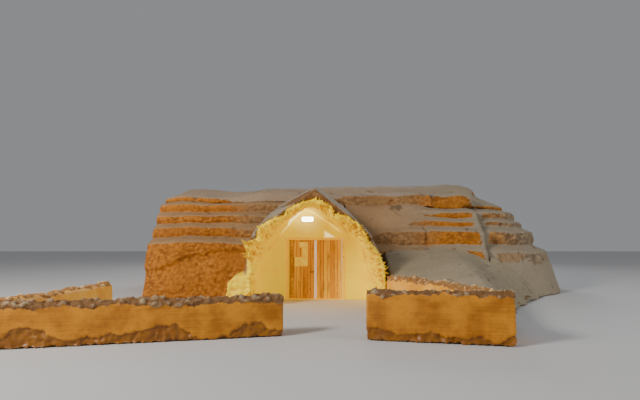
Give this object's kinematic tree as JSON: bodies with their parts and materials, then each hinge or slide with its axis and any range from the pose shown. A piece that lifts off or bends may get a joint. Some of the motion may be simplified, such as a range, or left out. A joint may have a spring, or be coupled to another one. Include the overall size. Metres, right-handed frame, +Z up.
{
  "type": "large snow igloo with a porch and a walled forecourt",
  "caption": "Long corbelled snow vault with a rounded end, a splayed snow porch with a double plank door, and a forecourt held by low snow walls.",
  "frame": {"origin": "on the ground in the middle of the doorway, under the door frame's sill", "axes": "+X along the front to the right, +Y into the building, +Z up"},
  "size_m": [16.5998, 15.7, 4.5613],
  "materials": {
    "packed_snow": "matte",
    "powder_snow": "matte",
    "torn_snow": "matte",
    "trowelled_snow": "matte",
    "icy_snow": "satin",
    "pine": "matte",
    "dark_steel": "satin",
    "lamp_white": "matte",
    "lamp_diffuser": "satin"
  },
  "bodies": {
    "snow_house": {"front_left_lift_1": "packed_snow", "front_right_lift_1": "packed_snow", "back_lift_1": "packed_snow", "round_end_lift_1": "packed_snow", "front_left_lift_2": "packed_snow", "front_right_lift_2": "packed_snow", "back_lift_2": "packed_snow", "round_end_lift_2": "packed_snow", "front_left_lift_3": "packed_snow", "front_right_lift_3": "packed_snow", "back_lift_3": "packed_snow", "round_end_lift_3": "packed_snow", "front_left_lift_4": "packed_snow", "front_right_lift_4": "packed_snow", "back_lift_4": "packed_snow", "round_end_lift_4": "packed_snow", "left_end_wall": "packed_snow", "passage_arch": "packed_snow", "crown_left": "packed_snow", "crown_right": "packed_snow", "crown_dome": "packed_snow", "roof_snow": "powder_snow", "roof_drape": "powder_snow", "wing_drift": "powder_snow", "porch_roof_left": "powder_snow", "porch_roof_right": "powder_snow", "snow_bank": "powder_snow", "porch_left_wall": "torn_snow", "porch_vault_left": "torn_snow", "porch_vault_right": "torn_snow", "porch_right_wall": "torn_snow", "side_block": "torn_snow", "door_wall_left": "trowelled_snow", "door_wall_right": "trowelled_snow", "door_wall_over": "trowelled_snow", "front_wall_left": "icy_snow", "front_wall_right": "icy_snow", "side_wall": "icy_snow", "court_wall": "icy_snow", "door_frame": "pine", "hinge_pins": "dark_steel", "lamp_housing": "lamp_white", "lamp_cover": "lamp_diffuser"},
    "left_door": {"left_leaf": "pine", "left_hinges": "dark_steel", "door_handle": "dark_steel"},
    "right_door": {"right_leaf": "pine", "right_hinges": "dark_steel"}
  },
  "joints": [
    {"name": "left_door_hinge", "type": "hinge", "parent": "snow_house", "child": "left_door", "pos_m": [-0.9075, 0.076, 0], "axis": [0, 0, 1], "range_deg": [0, 90]},
    {"name": "right_door_hinge", "type": "hinge", "parent": "snow_house", "child": "right_door", "pos_m": [0.9075, 0.076, 0], "axis": [0, 0, -1], "range_deg": [0, 90]}
  ]
}
